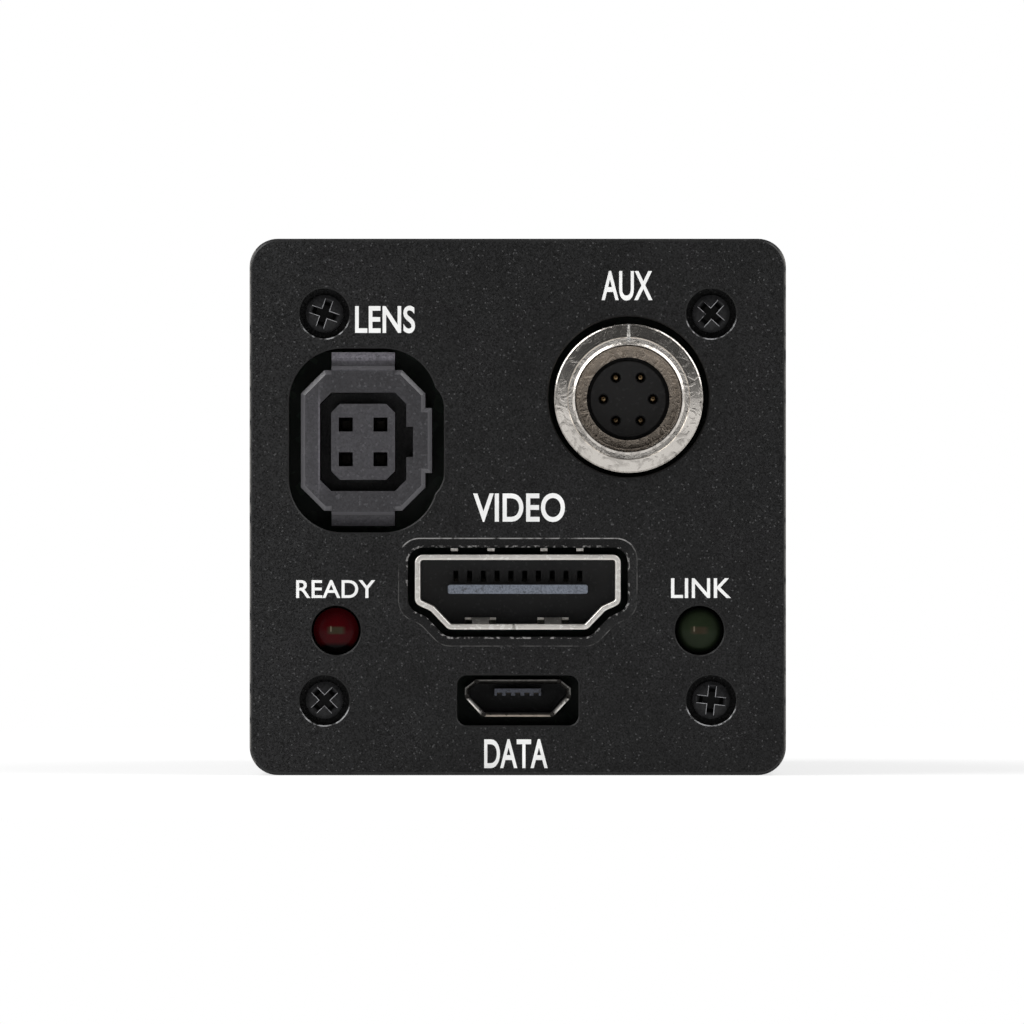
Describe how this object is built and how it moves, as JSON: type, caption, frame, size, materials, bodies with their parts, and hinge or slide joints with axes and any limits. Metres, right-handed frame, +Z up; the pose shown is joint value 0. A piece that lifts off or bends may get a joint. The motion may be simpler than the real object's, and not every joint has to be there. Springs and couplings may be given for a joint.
{
  "type": "compact box camera",
  "caption": "Square black box camera with a manual-focus lens in front, a tripod socket below, and a rear panel with lens, control, video and service sockets and lamps.",
  "frame": {"origin": "mouth of the tripod socket, in the plane of the underside", "axes": "+Y forward along the optical axis, +Z up, +X to the right seen from behind"},
  "size_m": [0.038, 0.0606, 0.038],
  "materials": {
    "body_black": "fine matt black coat with a slight grain",
    "screw_black": "blackened steel, slightly glossy",
    "lens_black": "black anodised, satin",
    "mount_steel": "plain steel",
    "standoff_brass": "turned",
    "optic_glass": "clear, coated",
    "gasket_rubber": "matt",
    "board_green": "solder mask",
    "chip_black": "moulded",
    "link_plastic": "moulded",
    "shell_tin": "plated sheet",
    "tongue_black": "moulded",
    "socket_grey": "moulded, satin",
    "control_nickel": "nickel plated",
    "contact_gold": "gilt",
    "lead_tin": "tinned",
    "lamp_red": "tinted, unlit",
    "lamp_green": "tinted, unlit"
  },
  "bodies": {
    "camera_body": {"rear_panel": "body_black", "rear_panel_screws": "screw_black", "housing_sleeve": "body_black", "front_block": "body_black", "front_block_screws": "screw_black", "lens_mount_ring": "mount_steel", "mount_ring_set_screws": "screw_black", "ir_filter": "optic_glass", "filter_retainer": "lens_black", "image_sensor": "chip_black", "sensor_cover_glass": "optic_glass", "sensor_gasket": "gasket_rubber", "sensor_board": "board_green", "sensor_board_screws": "mount_steel", "processor_board": "board_green", "processor_chip": "chip_black", "memory_chips": "chip_black", "sensor_link_plug": "link_plastic", "sensor_link_socket": "link_plastic", "panel_link_plug": "link_plastic", "panel_link_socket": "link_plastic", "front_standoffs": "standoff_brass", "rear_standoffs": "standoff_brass", "connector_board": "board_green", "connector_board_screws": "mount_steel", "video_socket_shell": "shell_tin", "video_socket_tongue": "tongue_black", "video_socket_contacts": "contact_gold", "service_socket_shell": "shell_tin", "service_socket_tongue": "tongue_black", "service_socket_contacts": "contact_gold", "lens_socket_housing": "socket_grey", "lens_socket_contacts": "contact_gold", "control_socket_shell": "control_nickel", "control_socket_insert": "tongue_black", "control_socket_pins": "contact_gold", "power_lamp": "lamp_red", "signal_lamp": "lamp_green", "lamp_spacers": "link_plastic", "lamp_leads": "lead_tin", "lens_barrel": "lens_black"},
    "focus_control": {"focus_ring": "lens_black"},
    "optics": {"lens_cell": "lens_black", "cell_guide_pin": "mount_steel", "front_glass": "optic_glass", "front_retaining_ring": "lens_black", "glass_spacer": "lens_black", "middle_glass": "optic_glass", "aperture_stop": "lens_black", "rear_glass": "optic_glass", "rear_retaining_ring": "lens_black"},
    "focus_lock": {"focus_lock_screw": "mount_steel"}
  },
  "joints": [
    {"name": "focus_turn", "type": "hinge", "parent": "camera_body", "child": "focus_control", "pos_m": [0, 0.0149, 0.019], "axis": [0, 1, 0], "range_deg": [0, 100]},
    {"name": "cell_slide", "type": "slide", "parent": "camera_body", "child": "optics", "axis": [0, 1, 0], "range_m": [0, 0.0008]},
    {"name": "lock_turn", "type": "hinge", "parent": "focus_control", "child": "focus_lock", "pos_m": [0, 0.0149, 0.019], "axis": [0.7071, 0, 0.7071], "range_deg": [0, 180]}
  ],
  "couplings": [
    {"joint": "cell_slide", "follows": "focus_turn", "m_per_rad": 0.00045836}
  ]
}
